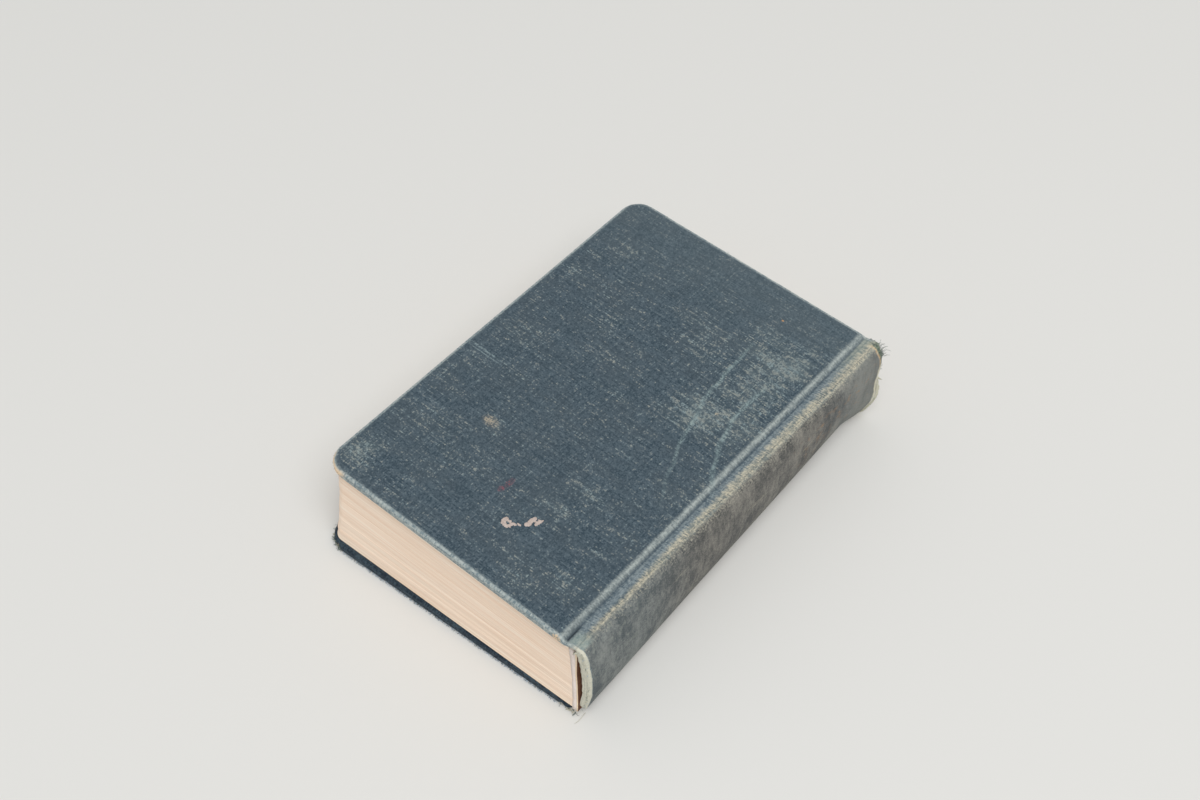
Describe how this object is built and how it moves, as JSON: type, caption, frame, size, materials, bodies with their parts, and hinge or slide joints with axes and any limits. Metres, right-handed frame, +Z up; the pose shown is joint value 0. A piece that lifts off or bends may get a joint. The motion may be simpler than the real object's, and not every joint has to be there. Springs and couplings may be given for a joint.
{
  "type": "hardback book",
  "caption": "Old cloth-bound hardback with rounded fore-edge corners, a rounded hollow back and covers that open.",
  "frame": {"origin": "middle of the book's bounding box, on the surface that the back cover lies on", "axes": "+X from the fore edge to the spine, +Y along the spine, +Z up through the front cover"},
  "size_m": [0.131, 0.1862, 0.0451],
  "materials": {
    "millboard": "matt grey-brown millboard",
    "cover_cloth": "matt rubbed cloth",
    "spine_cloth": "matt darkened cloth",
    "endpaper": "matt aged paper",
    "pages": "matt aged paper edges",
    "gauze": "open cotton gauze",
    "lining": "matt lining paper"
  },
  "bodies": {
    "block": {"page_block": "pages", "front_flyleaf": "endpaper", "back_flyleaf": "endpaper", "mull": "gauze", "spine_lining": "lining", "spine_board": "millboard", "spine_cloth": "spine_cloth"},
    "front_cover": {"front_board": "millboard", "front_cloth": "cover_cloth", "front_pastedown": "endpaper"},
    "back_cover": {"back_board": "millboard", "back_cloth": "cover_cloth", "back_pastedown": "endpaper"}
  },
  "joints": [
    {"name": "front_cover_hinge", "type": "hinge", "parent": "block", "child": "front_cover", "pos_m": [0.05329, -0.00072, 0.0408], "axis": [0.0359, 0.9993, 0.0094], "range_deg": [0, 178]},
    {"name": "back_cover_hinge", "type": "hinge", "parent": "block", "child": "back_cover", "pos_m": [0.05015, -0.00294, -0.0002], "axis": [0, -1, 0], "range_deg": [0, 178]}
  ]
}
